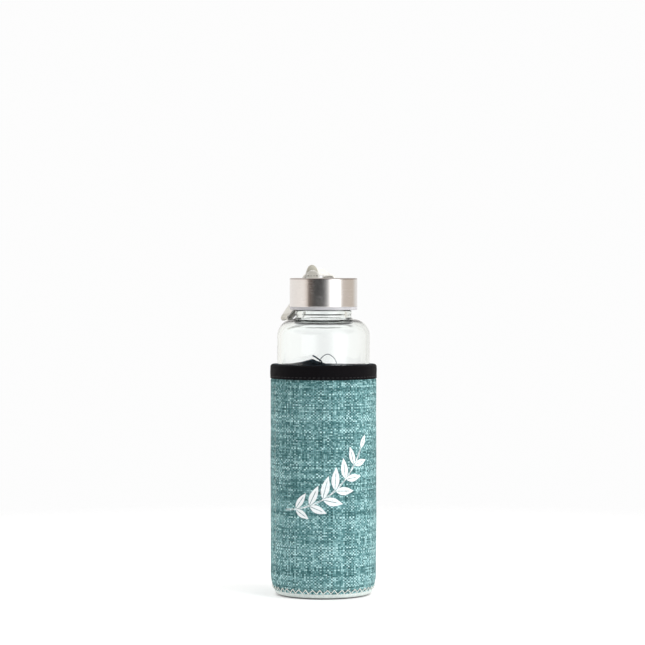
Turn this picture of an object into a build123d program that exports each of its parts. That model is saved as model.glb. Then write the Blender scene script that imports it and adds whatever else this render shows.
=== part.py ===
from build123d import *
import math
import os

# A half-litre glass bottle in a padded fabric sleeve, with a screw cap and a webbing carry strap.
# Millimetres. The bottle's axis is Z, the table is z = 0, and the front is towards -Y.

# Bottle
glass_r = 32.5
glass_wall = 2.5
glass_foot = 3.6
base_glass = 6.0
punt_height = 2.6
shoulder_z = 192.7
shoulder_rise = 1.2
shoulder_round = 11.6
neck_r = 19.5
bead_r = 19.85
bead_z = 198.3
thread_root_r = 17.6
mouth_r = 15.4
mouth_z = 219.1

# Screw thread, single start, right-handed
thread_pitch = 4.2333
neck_crest_r = 18.8
liner_crest_r = 18.05
thread_start_z = 205.6
neck_turns = 1.75
liner_turns = 1.3

# Cap
cap_r = 23.8
cap_top = 222.6
cap_bottom = 200.4
lip_height = 2.0
steel = 0.5
skirt_r = 19.35
skirt_wall = 1.5
recess_r = 13.2
recess_depth = 5.0
plug_wall = 1.2
gasket_height = 1.5

# Strap and its bar
bar_r = 1.0
bar_z = 220.2
webbing = 1.2
eye_width = 9.4
eye_clearance = 0.05
strap_x = -7.7

# Sleeve: radii are given at the foot seam, on the wall and where the binding grips the rim
sleeve_r = 37.2
foot_seam_z = 3.6
grip_z = 152.3
wall_top = 161.45
outer_face = (34.4, 37.2, 36.65)
foam_outer_face = (33.9, 36.3, 36.0)
lining_outer_face = (33.3, 33.3, 34.15)
inner_face = (32.8, 32.8, 33.65)
binding_r = 37.45
binding_top = 162.3
bore_r = 32.85
seam_azimuth = 204
panel_r = 34.2
panel_cloth = 0.9

# Stitching
zigzags = 44
rim_stitches = 72
seam_stitches = 33


def turned(*corners):
    """A ring or disc turned about Z, from corners (radius, height, rounding)."""
    points = [(r, z) for r, z, _ in corners]
    rounds = [rounding for _, _, rounding in corners]
    outline = FilletPolyline(*points, radius=rounds, close=True)
    return revolve(Plane.XZ * make_face(outline), Axis.Z)


def rod(start, end, radius):
    """A round rod between two points."""
    run = Vector(*end) - Vector(*start)
    place = Plane(origin=Vector(*start), z_dir=run)
    return place * Cylinder(radius, run.length, align=(Align.CENTER, Align.CENTER, Align.MIN))


def around(radius, azimuth, z):
    """A point at a radius, an azimuth in degrees and a height."""
    turn = math.radians(azimuth)
    return (radius * math.cos(turn), radius * math.sin(turn), z)


def thread(root_r, crest_r, start_z, turns, root_width, crest_width):
    """A helical ridge whose root is sunk a little into the wall it stands on."""
    sunk = 0.3 if crest_r > root_r else -0.3
    helix = Helix(thread_pitch, thread_pitch * turns, root_r, center=(0, 0, start_z))
    ridge = Polyline(
        (-sunk, -root_width / 2),
        (crest_r - root_r, -crest_width / 2),
        (crest_r - root_r, crest_width / 2),
        (-sunk, root_width / 2),
        close=True,
    )
    section = Plane(origin=helix @ 0, x_dir=(1, 0, 0), z_dir=helix % 0) * make_face(ridge)
    return sweep(section, path=helix, is_frenet=True)


# ---------------------------------------------------------------- bottle


def glass_bottle():
    inner_r = glass_r - glass_wall
    floor_z = glass_foot + base_glass
    inner_shoulder_z = shoulder_z - glass_wall
    body = turned(
        (0, glass_foot + punt_height, 0),
        (16, glass_foot + punt_height * 0.7, 12),
        (25, glass_foot, 2),
        (glass_r, glass_foot, 4),
        (glass_r, shoulder_z, shoulder_round),
        (neck_r, shoulder_z + shoulder_rise, 2.2),
        (neck_r, bead_z - 1.7, 0.8),
        (bead_r, bead_z - 0.7, 0.8),
        (bead_r, bead_z + 1.3, 1.0),
        (thread_root_r, bead_z + 2.2, 0.8),
        (thread_root_r, mouth_z, 0.9),
        (mouth_r, mouth_z, 0.9),
        (mouth_r, inner_shoulder_z + 1.0, 5.0),
        (inner_r, inner_shoulder_z, 9.0),
        (inner_r, floor_z, 6),
        (16, floor_z + 0.6, 12),
        (0, floor_z + 1.2, 0),
    )
    ridge = thread(thread_root_r, neck_crest_r, thread_start_z, neck_turns, 2.2, 1.0)
    return body + ridge


# ---------------------------------------------------------------- cap


def cap_shell():
    skirt_z = cap_bottom + lip_height + 0.05
    inner_r = cap_r - steel
    floor_z = cap_top - recess_depth
    shell = turned(
        (cap_r, skirt_z, 0),
        (cap_r, cap_top, 0.6),
        (recess_r, cap_top, 0.8),
        (recess_r, floor_z, 1.0),
        (0, floor_z, 0),
        (0, floor_z - steel, 0),
        (recess_r + steel, floor_z - steel, 1.5),
        (recess_r + steel, cap_top - steel, 0.3),
        (inner_r, cap_top - steel, 0.3),
        (inner_r, skirt_z, 0),
    )
    return shell - bar_hole()


def bar_length():
    return 2 * (recess_r + steel + plug_wall * 0.75)


def bar_hole():
    return rod((-bar_length() / 2, 0, bar_z), (bar_length() / 2, 0, bar_z), bar_r)


def cap_liner():
    fit_gap = 0.05
    outer_r = cap_r - steel - fit_gap
    lip_z = cap_bottom + lip_height
    roof_top = cap_top - steel - fit_gap
    roof_bottom = mouth_z + gasket_height
    plug_inner_r = recess_r + steel + fit_gap
    plug_r = plug_inner_r + plug_wall
    plug_top = cap_top - recess_depth - steel - fit_gap
    moulding = turned(
        (0, plug_top, 0),
        (plug_inner_r, plug_top, 1.4),
        (plug_inner_r, roof_top, 0.4),
        (outer_r, roof_top, 0.4),
        (outer_r, lip_z, 0),
        (cap_r, lip_z, 0),
        (cap_r, cap_bottom, 0.5),
        (cap_r - 2.0, cap_bottom, 0.3),
        (cap_r - 2.0, roof_bottom - 1.0, 0.5),
        (skirt_r + skirt_wall, roof_bottom - 1.0, 0.5),
        (skirt_r + skirt_wall, cap_bottom + 0.4, 0.3),
        (skirt_r, cap_bottom + 0.4, 0.3),
        (skirt_r, roof_bottom, 0),
        (plug_r, roof_bottom, 0),
        (plug_r, plug_top - plug_wall, 0.8),
        (0, plug_top - plug_wall, 0),
    )
    ridge_z = thread_start_z - thread_pitch / 2 + thread_pitch * 0.25
    ridge = thread(skirt_r, liner_crest_r, ridge_z, liner_turns, 1.8, 0.8)
    # The ridge starts a quarter turn round, so that it lies midway between the neck's turns
    return moulding + Rot(0, 0, 90) * ridge - bar_hole()


def cap_gasket():
    inner_r = recess_r + steel + 0.05 + plug_wall + 0.4
    outer_r = skirt_r - 0.4
    return turned(
        (inner_r, mouth_z, 0.3),
        (outer_r, mouth_z, 0.3),
        (outer_r, mouth_z + gasket_height, 0.3),
        (inner_r, mouth_z + gasket_height, 0.3),
    )


# ---------------------------------------------------------------- strap


def strap_eye():
    """The tab in front of the bar and the turn under it: (centre, width direction, width)."""
    across = Vector(1, 0, 0)
    layer_y = webbing / 2 + 0.2
    turn_r = bar_r + eye_clearance + webbing / 2
    # how far the tab stands in front of the bar's axis, its height above it, and its width
    tab = [(layer_y, 7.8, 5.6), (layer_y, 6.0, 7.4), (layer_y, 4.0, 8.0), (1.05, 2.4, 8.6), (1.45, 1.2, 9.2)]
    stations = [(Vector(strap_x, -y, bar_z + up), across, wide) for y, up, wide in tab]
    steps = 8
    for step in range(steps + 1):
        turn = math.pi * step / steps
        centre = Vector(strap_x, -turn_r * math.cos(turn), bar_z - turn_r * math.sin(turn))
        stations.append((centre, across, eye_width))
    return stations


def strap_loop():
    """The route from the bar over the cap, down behind it, round the end and back to the bar."""
    # centre x, y, z, then the direction of the webbing's width and the width
    route = [
        ((-7.7, 1.35, 221.4), (1, 0, 0), 9.8),
        ((-7.8, 0.8, 223.8), (1, 0, 0), 10.2),
        ((-7.9, 0.9, 226.4), (1, 0, 0), 9.2),
        ((-8.0, 1.1, 228.4), (1, 0, 0), 7.2),
        ((-8.1, 2.3, 229.8), (1, 0, 0), 5.2),
        ((-8.1, 5.4, 229.0), (1, 0, 0), 5.4),
        ((-8.0, 11.0, 227.0), (1, 0, 0), 7.0),
        ((-8.2, 17.0, 225.2), (1, 0, 0), 8.6),
        ((-9.2, 22.8, 224.2), (1, 0, 0), 9.4),
        ((-10.6, 26.8, 220.6), (0.97, 0, -0.2), 10),
        ((-12.6, 28.2, 215.0), (0.9, -0.15, -0.38), 10),
        ((-16.2, 27.0, 209.2), (0.72, -0.6, -0.25), 10),
        ((-21.1, 23.1, 203.4), (0.56, -0.8, -0.05), 10),
        ((-25.7, 19.0, 197.2), (0.54, -0.84, 0), 10),
        ((-27.3, 17.4, 194.2), (0.54, -0.84, 0), 9.6),
        ((-26.1, 17.6, 193.1), (0.54, -0.84, 0), 9.4),
        ((-24.5, 18.6, 194.3), (0.54, -0.84, 0), 9.6),
        ((-20.4, 22.2, 199.6), (0.56, -0.8, -0.05), 10),
        ((-14.6, 26.6, 204.8), (0.55, -0.45, -0.5), 10),
        ((-8.0, 29.4, 208.6), (0.48, 0.05, -0.8), 10),
        ((-1.8, 30.2, 212.0), (0.6, 0.15, -0.8), 10),
        ((2.4, 29.4, 217.0), (0.85, -0.1, -0.45), 10),
        ((3.8, 26.8, 222.2), (0.8, -0.1, -0.5), 9.4),
        ((3.2, 22.4, 226.0), (0.77, -0.1, -0.5), 8.8),
        ((1.2, 17.2, 226.8), (0.75, -0.1, -0.52), 8.4),
        ((-1.6, 12.6, 226.4), (0.8, -0.1, -0.45), 8.4),
        ((-4.8, 8.0, 225.6), (0.95, 0, -0.15), 8.4),
        ((-7.0, 4.4, 225.4), (1, 0, 0), 8.4),
        ((-7.7, 2.7, 224.8), (1, 0, 0), 8.4),
        ((-7.8, 2.25, 223.6), (1, 0, 0), 8.4),
    ]
    spline = Spline(*[point for point, _, _ in route])
    marks = [spline.param_at_point(Vector(*point)) for point, _, _ in route]
    marks[0], marks[-1] = 0, 1
    stations = []
    span = 0
    count = 64
    for step in range(count + 1):
        along = step / count
        while along > marks[span + 1] and span < len(route) - 2:
            span += 1
        share = (along - marks[span]) / (marks[span + 1] - marks[span])
        (_, first, width_a), (_, second, width_b) = route[span], route[span + 1]
        across = Vector(*first) * (1 - share) + Vector(*second) * share
        stations.append((spline @ along, across, width_a * (1 - share) + width_b * share))
    return stations


def ribbon(stations):
    """Flat webbing through stations, each a rectangle square to the route."""
    sections = []
    last = len(stations) - 1
    for i, (centre, across, wide) in enumerate(stations):
        ahead = stations[min(i + 1, last)][0] - stations[max(i - 1, 0)][0]
        ahead = ahead.normalized()
        side = (across - ahead * across.dot(ahead)).normalized()
        section = Plane(origin=centre, x_dir=side, z_dir=ahead) * Rectangle(wide, webbing)
        sections.append(section)
    return loft(sections, ruled=True)


def carry_strap():
    return ribbon(strap_eye() + strap_loop())


def strap_bartack():
    """A row of stitches across the tab and the webbing behind it, just above the bar."""
    stitches = []
    thick = 0.45
    long = 1.3
    pitch = 1.95
    count = 4
    front_y = -(webbing + 0.2) - thick / 2
    back_y = 3.2
    for i in range(count):
        x = strap_x + (i - (count - 1) / 2) * pitch
        depth = back_y - front_y
        loop = Box(long, depth, thick) - Box(long - 2 * thick, depth - 2 * thick, thick)
        stitches.append(Pos(x, (back_y + front_y) / 2, 224.2) * loop)
    return Compound(children=stitches)


# ---------------------------------------------------------------- sleeve


def face_line(radii):
    """One face of the wall's laminate, from the foot seam up to the rim."""
    foot_r, wall_r, rim_r = radii
    line = [(foot_r, foot_seam_z, 0)]
    spread = wall_r - foot_r
    if spread > 0:
        # the wall draws in to the seam along one arc
        lean = math.radians(27.6)
        rise = spread / math.tan(lean)
        bend_r = 0.985 * math.hypot(spread, rise) / math.tan(lean / 2)
        line.append((wall_r, foot_seam_z + rise, bend_r))
    line += [(wall_r, grip_z - 0.7, 0), (rim_r, grip_z, 0), (rim_r, wall_top, 0)]
    return line


def laminate(outside, inside):
    return turned(*face_line(outside), *reversed(face_line(inside)))


def sleeve_outer_fabric():
    groove = Box(1.2, 1.4, grip_z, align=(Align.MIN, Align.CENTER, Align.MIN))
    groove = Rot(0, 0, seam_azimuth) * Pos(sleeve_r - 0.4, 0, 0) * groove
    return laminate(outer_face, foam_outer_face) - groove


def side_seam_stitches():
    stitches = []
    pitch = 4.1
    for i in range(seam_stitches):
        low = 14 + i * pitch
        start = around(sleeve_r - 0.21, seam_azimuth, low)
        end = around(sleeve_r - 0.21, seam_azimuth, low + pitch - 0.9)
        stitches.append(rod(start, end, 0.18))
    return Compound(children=stitches)


def rim_binding():
    gripped_r = outer_face[2]
    freed_r = inner_face[2]
    return turned(
        (gripped_r, grip_z, 0),
        (binding_r, grip_z, 0.3),
        (binding_r, binding_top, 1.9),
        (bore_r, binding_top, 1.9),
        (bore_r, grip_z + 0.2, 0.3),
        (freed_r, grip_z + 0.2, 0),
        (freed_r, wall_top, 0),
        (gripped_r, wall_top, 0),
    )


def binding_topstitch():
    stitches = []
    step = 360 / rim_stitches
    for i in range(rim_stitches):
        start = around(binding_r, (i - 0.35) * step, grip_z + 1.6)
        end = around(binding_r, (i + 0.35) * step, grip_z + 1.6)
        stitches.append(rod(start, end, 0.2))
    return Compound(children=stitches)


def binding_end_lap():
    """The end of the binding, folded up over the rim at the back."""
    profile = FilletPolyline(
        (34.0, binding_top + 0.02),
        (36.2, binding_top + 0.02),
        (36.2, binding_top + 2.5),
        (34.0, binding_top + 2.5),
        radius=[0, 0, 1.0, 1.0],
        close=True,
    )
    lap = revolve(Plane.XZ * make_face(profile), Axis.Z, 15)
    return Rot(0, 0, 96) * lap


def binding_thread_tails():
    """Two loose thread ends at the join, each bent in one arc."""
    thick = [(-8.2, 34.2, 166.4), (-5.0, 33.6, 165.7), (-1.2, 34.2, 162.75)]
    thin = [(-3.2, 35.2, 163.0), (3.0, 35.3, 167.1), (9.6, 34.8, 162.75)]
    tails = []
    for route, radius in ((thick, 0.34), (thin, 0.2)):
        arc = ThreePointArc(*route)
        section = Plane(origin=arc @ 0, z_dir=arc % 0) * Circle(radius)
        tails.append(sweep(section, path=arc))
    return Compound(children=tails)


def base_panel():
    return turned(
        (0, 0, 0),
        (panel_r, 0, 3.5),
        (panel_r, foot_seam_z, 0),
        (panel_r - panel_cloth, foot_seam_z, 0),
        (panel_r - panel_cloth, panel_cloth, 2.1),
        (0, panel_cloth, 0),
    )


def base_foam():
    return turned(
        (0, panel_cloth, 0),
        (panel_r - panel_cloth, panel_cloth, 2.1),
        (panel_r - panel_cloth, foot_seam_z - 0.5, 0),
        (0, foot_seam_z - 0.5, 0),
    )


def base_lining():
    return turned(
        (0, foot_seam_z - 0.5, 0),
        (panel_r - panel_cloth, foot_seam_z - 0.5, 0),
        (panel_r - panel_cloth, foot_seam_z, 0),
        (0, foot_seam_z, 0),
    )


def base_seam_stitches():
    """A zigzag of thread across the seam between the wall and the base panel."""
    thread_r = 0.3
    step = 180 / zigzags
    low = (34.8, 3.2)
    high = (36.15, 6.7)
    legs = []
    for i in range(2 * zigzags):
        (r_a, z_a), (r_b, z_b) = (low, high) if i % 2 == 0 else (high, low)
        start = Vector(*around(r_a, i * step, z_a))
        end = Vector(*around(r_b, (i + 1) * step, z_b))
        shorten = (end - start).normalized() * 0.4
        legs.append(rod(start + shorten, end - shorten, thread_r))
    return Compound(children=legs)


sub_parts = [
    glass_bottle,
    cap_shell,
    cap_liner,
    cap_gasket,
    carry_strap,
    strap_bartack,
    sleeve_outer_fabric,
    side_seam_stitches,
    rim_binding,
    binding_topstitch,
    binding_end_lap,
    binding_thread_tails,
    base_panel,
    base_foam,
    base_lining,
    base_seam_stitches,
]

os.makedirs("parts", exist_ok=True)
for make in sub_parts:
    export_step(make(), f"parts/{make.__name__}.step")
export_step(bar_hole(), "parts/strap_bar.step")
export_step(laminate(foam_outer_face, lining_outer_face), "parts/sleeve_foam.step")
export_step(laminate(lining_outer_face, inner_face), "parts/sleeve_lining.step")
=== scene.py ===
import math

import bpy
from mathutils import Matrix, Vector, noise


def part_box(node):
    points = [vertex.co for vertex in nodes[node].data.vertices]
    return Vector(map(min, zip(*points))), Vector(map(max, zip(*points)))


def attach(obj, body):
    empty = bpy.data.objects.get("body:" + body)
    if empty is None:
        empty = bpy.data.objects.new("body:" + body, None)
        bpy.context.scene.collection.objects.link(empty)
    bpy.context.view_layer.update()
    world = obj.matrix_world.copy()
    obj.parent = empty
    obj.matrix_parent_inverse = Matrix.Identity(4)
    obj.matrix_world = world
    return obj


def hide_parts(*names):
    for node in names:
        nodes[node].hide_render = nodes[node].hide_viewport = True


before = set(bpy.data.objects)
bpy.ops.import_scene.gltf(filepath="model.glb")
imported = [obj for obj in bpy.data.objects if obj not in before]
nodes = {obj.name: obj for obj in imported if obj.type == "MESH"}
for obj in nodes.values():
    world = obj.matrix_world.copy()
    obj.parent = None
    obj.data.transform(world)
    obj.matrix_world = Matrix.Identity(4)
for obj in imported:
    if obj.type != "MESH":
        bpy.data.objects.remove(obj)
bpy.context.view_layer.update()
print("frame loaded:", len(nodes), "nodes")


# picking and finishing

def clearSelection():
    if bpy.context.object and bpy.context.object.mode != "OBJECT":
        bpy.ops.object.mode_set(mode="OBJECT")
    bpy.ops.object.select_all(action="DESELECT")


def pickOnly(piece):
    clearSelection()
    piece.select_set(True)
    bpy.context.view_layer.objects.active = piece


def applyModifier(piece, kind, **settings):
    pickOnly(piece)
    modifier = piece.modifiers.new(kind.lower(), kind)
    for name, value in settings.items():
        setattr(modifier, name, value)
    bpy.ops.object.modifier_apply(modifier=modifier.name)


def mendShell(piece, gap=0.000002):
    pickOnly(piece)
    bpy.ops.object.mode_set(mode="EDIT")
    bpy.ops.mesh.select_all(action="SELECT")
    bpy.ops.mesh.remove_doubles(threshold=gap)
    bpy.ops.mesh.normals_make_consistent(inside=False)
    bpy.ops.object.mode_set(mode="OBJECT")


def finishPiece(piece, name, body, material, replaced, sharp=35):
    pickOnly(piece)
    bpy.ops.object.transform_apply(location=True, rotation=True, scale=True)
    bpy.ops.object.shade_smooth_by_angle(angle=math.radians(sharp))
    piece.name = name
    piece.data.name = name
    piece.data.materials.clear()
    piece.data.materials.append(material)
    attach(piece, body)
    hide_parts(*replaced)
    print("made", name, len(piece.data.polygons), "faces")
    return piece


def smoothStep(low, high, value):
    share = min(1, max(0, (value - low) / (high - low)))
    return share * share * (3 - 2 * share)


# outlines: corners are (radius, height, rounding) in metres, and each rounding becomes an arc

def roundOff(corners, arcStep=math.radians(11)):
    outline = []
    for i, (radius, height, rounding) in enumerate(corners):
        here = Vector((radius, height))
        if rounding == 0:
            outline.append(here)
            continue
        back = (Vector(corners[i - 1][:2]) - here).normalized()
        ahead = (Vector(corners[(i + 1) % len(corners)][:2]) - here).normalized()
        half = back.angle(ahead) / 2
        centre = here + (back + ahead).normalized() * rounding / math.sin(half)
        first = here + back * rounding / math.tan(half) - centre
        last = here + ahead * rounding / math.tan(half) - centre
        turn = math.copysign(math.pi - 2 * half, first.cross(last))
        steps = max(3, math.ceil(abs(turn) / arcStep))
        for step in range(steps + 1):
            angle = turn * step / steps
            spoke = (first.x * math.cos(angle) - first.y * math.sin(angle),
                     first.x * math.sin(angle) + first.y * math.cos(angle))
            outline.append(centre + Vector(spoke))
    return outline


def spinOutline(outline, steps=160):
    # one vertex is drawn out along the outline, then spun round the bottle's axis
    clearSelection()
    bpy.ops.mesh.primitive_plane_add(size=0.001, location=(0, 0, 0))
    piece = bpy.context.object
    bpy.ops.object.mode_set(mode="EDIT")
    bpy.ops.mesh.merge(type="CENTER")
    bpy.ops.transform.translate(value=(outline[0].x, 0, outline[0].y))
    for start, end in zip(outline, outline[1:] + outline[:1]):
        move = (end.x - start.x, 0, end.y - start.y)
        bpy.ops.mesh.extrude_vertices_move(TRANSFORM_OT_translate={"value": move})
    bpy.ops.mesh.select_all(action="SELECT")
    bpy.ops.mesh.spin(steps=steps, angle=2 * math.pi, center=(0, 0, 0), axis=(0, 0, 1))
    mendShell(piece)
    return piece


def wrapCloth(columns, rows, face, startTurn):
    # a flat grid wrapped round the axis; face(share) gives its radius and height from the hem up
    clearSelection()
    bpy.ops.mesh.primitive_grid_add(x_subdivisions=columns, y_subdivisions=rows, size=1, calc_uvs=True)
    cloth = bpy.context.object
    for vertex in cloth.data.vertices:
        radius, height = face(vertex.co.y + 0.5)
        turn = startTurn + 2 * math.pi * (vertex.co.x + 0.5)
        vertex.co = (radius * math.cos(turn), radius * math.sin(turn), height)
    mendShell(cloth)
    return cloth


def threadPiece(paths, thickness, closed=False):
    # round thread along NURBS lines, one spline for each path
    clearSelection()
    curve = bpy.data.curves.new("thread", "CURVE")
    curve.dimensions = "3D"
    for path in paths:
        spline = curve.splines.new("NURBS")
        spline.points.add(len(path) - 1)
        for point, place in zip(spline.points, path):
            point.co = (*place, 1)
        spline.order_u = 3
        spline.use_endpoint_u = not closed
        spline.use_cyclic_u = closed
        spline.resolution_u = 3
    curve.bevel_depth = thickness / 2
    curve.bevel_resolution = 2
    curve.use_fill_caps = True
    piece = bpy.data.objects.new("thread", curve)
    bpy.context.scene.collection.objects.link(piece)
    pickOnly(piece)
    bpy.ops.object.convert(target="MESH")
    return bpy.context.object


def around(radius, turn, height):
    return Vector((radius * math.cos(turn), radius * math.sin(turn), height))


# camera and studio

cameraSet = {
    "place": (-0.0007, -1.809, 0.2367),
    "lookDown": math.radians(1.437),
    "lens": 143.5,
}


def makeCamera():
    clearSelection()
    bpy.ops.object.camera_add(location=cameraSet["place"], rotation=(math.pi / 2 - cameraSet["lookDown"], 0,
                                                                     0))
    camera = bpy.context.object
    camera.data.lens = cameraSet["lens"]
    camera.data.sensor_width = 36
    camera.data.clip_start = 0.05
    bpy.context.scene.camera = camera


studio = {
    # what stands round the bottle: degrees to the right of the camera, and how bright and warm
    "room": [
        (-180, (1.00, 0.98, 0.96)),
        (-72, (1.12, 1.06, 1.01)),
        (-59, (0.90, 0.80, 0.73)),
        (-52, (0.17, 0.125, 0.10)),
        (-30, (0.035, 0.035, 0.035)),
        (-8, (0.045, 0.045, 0.045)),
        (3, (0.14, 0.14, 0.14)),
        (12, (0.48, 0.48, 0.48)),
        (20, (1.15, 1.15, 1.15)),
        (28, (2.30, 2.30, 2.30)),
        (57, (2.30, 2.30, 2.30)),
        (65, (0.90, 0.86, 0.82)),
        (72, (0.74, 0.66, 0.60)),
        (118, (0.72, 0.64, 0.56)),
        (140, (0.92, 0.90, 0.88)),
        (180, (1.00, 0.98, 0.96)),
    ],
    "ceiling": (1.05, 1.05, 1.05),
    "backdrop": (0.98, 0.98, 0.98),
    "throughGlass": 1.05,
    "roomPower": 0.95,
    "boxes": [
        {"turn": 62, "tilt": 28, "away": 1.7, "size": 1.2, "power": 15},
        {"turn": -98, "tilt": 20, "away": 1.5, "size": 0.9, "power": 5.5},
    ],
}


def linkInto(tree, socket, value):
    if isinstance(value, bpy.types.NodeSocket):
        tree.links.new(value, socket)
    elif value is not None:
        socket.default_value = value


def addNode(tree, kind, inputs=None, **settings):
    node = tree.nodes.new(kind)
    for name, value in settings.items():
        setattr(node, name, value)
    for name, value in (inputs or {}).items():
        linkInto(tree, node.inputs[name], value)
    return node


def maths(tree, operation, *values, clamp=False):
    node = addNode(tree, "ShaderNodeMath", operation=operation, use_clamp=clamp)
    for socket, value in zip(node.inputs, values):
        linkInto(tree, socket, value)
    return node.outputs[0]


def times(tree, *values):
    return maths(tree, "MULTIPLY", *values)


def timesPlus(tree, *values):
    # the first times the second, plus the third
    return maths(tree, "MULTIPLY_ADD", *values)


def plus(tree, *values, **settings):
    return maths(tree, "ADD", *values, **settings)


def minus(tree, *values, **settings):
    return maths(tree, "SUBTRACT", *values, **settings)


def over(tree, *values):
    return maths(tree, "DIVIDE", *values)


def larger(tree, *values):
    return maths(tree, "MAXIMUM", *values)


def splitXyz(tree, vector):
    return addNode(tree, "ShaderNodeSeparateXYZ", {0: vector}).outputs


def lengthOf(tree, vector):
    return addNode(tree, "ShaderNodeVectorMath", {0: vector}, operation="LENGTH").outputs["Value"]


def mixColour(tree, share, first, second, blend="MIX"):
    node = addNode(tree, "ShaderNodeMix", data_type="RGBA", blend_type=blend)
    linkInto(tree, node.inputs[0], share)
    linkInto(tree, node.inputs[6], first if isinstance(first, bpy.types.NodeSocket) else (*first, 1))
    linkInto(tree, node.inputs[7], second if isinstance(second, bpy.types.NodeSocket) else (*second, 1))
    return node.outputs[2]


def mixValue(tree, share, first, second):
    node = addNode(tree, "ShaderNodeMix", data_type="FLOAT")
    for socket, value in zip(node.inputs, (share, None, first, second)):
        linkInto(tree, socket, value)
    return node.outputs[0]


def fadeBetween(tree, value, low, high, start=0.0, end=1.0):
    node = addNode(tree, "ShaderNodeMapRange", interpolation_type="SMOOTHSTEP")
    for socket, number in zip(node.inputs, (value, low, high, start, end)):
        linkInto(tree, socket, number)
    return node.outputs[0]


def colourRamp(tree, share, stops):
    node = addNode(tree, "ShaderNodeValToRGB", {0: share})
    ramp = node.color_ramp
    while len(ramp.elements) < len(stops):
        ramp.elements.new(0.5)
    for element, (place, colour) in zip(ramp.elements, stops):
        element.position = place
        element.color = (*colour, 1)
    return node.outputs[0]


def makeRoom():
    world = bpy.data.worlds.new("studioRoom")
    bpy.context.scene.world = world
    world.use_nodes = True
    tree = world.node_tree
    tree.nodes.clear()
    direction = addNode(tree, "ShaderNodeTexCoord").outputs["Generated"]
    split = splitXyz(tree, direction)
    turn = maths(tree, "ARCTAN2", split[0], times(tree, split[1], -1.0))
    share = timesPlus(tree, turn, 0.5 / math.pi, 0.5)
    stops = [((angle + 180) / 360, colour) for angle, colour in studio["room"]]
    walls = colourRamp(tree, share, stops)
    high = fadeBetween(tree, split[2], 0.45, 0.85)
    walls = mixColour(tree, high, walls, studio["ceiling"])
    path = addNode(tree, "ShaderNodeLightPath").outputs
    straight = maths(tree, "LESS_THAN", path["Glossy Depth"], 0.5)
    through = times(tree, path["Is Transmission Ray"], straight)
    plain = larger(tree, path["Is Camera Ray"], through)
    room = addNode(tree, "ShaderNodeBackground", {"Color": walls, "Strength": studio["roomPower"]})
    bright = timesPlus(tree, through, studio["throughGlass"] - 1, 1.0)
    paper = addNode(tree, "ShaderNodeBackground", {"Color": (*studio["backdrop"], 1), "Strength": bright})
    mixed = addNode(tree, "ShaderNodeMixShader", {0: plain, 1: room.outputs[0], 2: paper.outputs[0]})
    addNode(tree, "ShaderNodeOutputWorld", {"Surface": mixed.outputs[0]})


def makeLights():
    # the key stands to the right in front, and a weaker one lifts the left side from behind
    aim = Vector((0, 0, 0.11))
    for box in studio["boxes"]:
        turn = math.radians(box["turn"])
        tilt = math.radians(box["tilt"])
        out = Vector((math.sin(turn) * math.cos(tilt), -math.cos(turn) * math.cos(tilt), math.sin(tilt)))
        clearSelection()
        bpy.ops.object.light_add(type="AREA", location=aim + out * box["away"])
        light = bpy.context.object
        light.rotation_euler = out.to_track_quat("Z", "Y").to_euler()
        light.data.shape = "SQUARE"
        light.data.size = box["size"]
        light.data.energy = box["power"]
        light.visible_camera = False
        light.visible_glossy = False
        light.visible_transmission = False


makeCamera()
makeRoom()
makeLights()
bpy.context.scene.view_settings.view_transform = "Standard"
print("camera and studio ready")


# material groups

def newGroup(name, inputs, outputs):
    group = bpy.data.node_groups.new(name, "ShaderNodeTree")
    for label, kind, value in inputs:
        socket = group.interface.new_socket(name=label, in_out="INPUT", socket_type="NodeSocket" + kind)
        if value is not None:
            socket.default_value = value
    for label, kind in outputs:
        group.interface.new_socket(name=label, in_out="OUTPUT", socket_type="NodeSocket" + kind)
    given = group.nodes.new("NodeGroupInput").outputs
    result = group.nodes.new("NodeGroupOutput").inputs
    return group, given, result


def useGroup(tree, group, **inputs):
    node = addNode(tree, "ShaderNodeGroup", node_tree=group)
    for name, value in inputs.items():
        linkInto(tree, node.inputs[name.replace("_", " ")], value)
    return node.outputs


def vectorOf(tree, x=0.0, y=0.0, z=0.0):
    return addNode(tree, "ShaderNodeCombineXYZ", {0: x, 1: y, 2: z}).outputs[0]


def noiseAt(tree, place, scale=1.0, detail=2.0, rough=0.5):
    node = addNode(tree, "ShaderNodeTexNoise", {"Vector": place, "Scale": scale, "Detail": detail,
                                               "Roughness": rough})
    return node.outputs[0]


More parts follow.
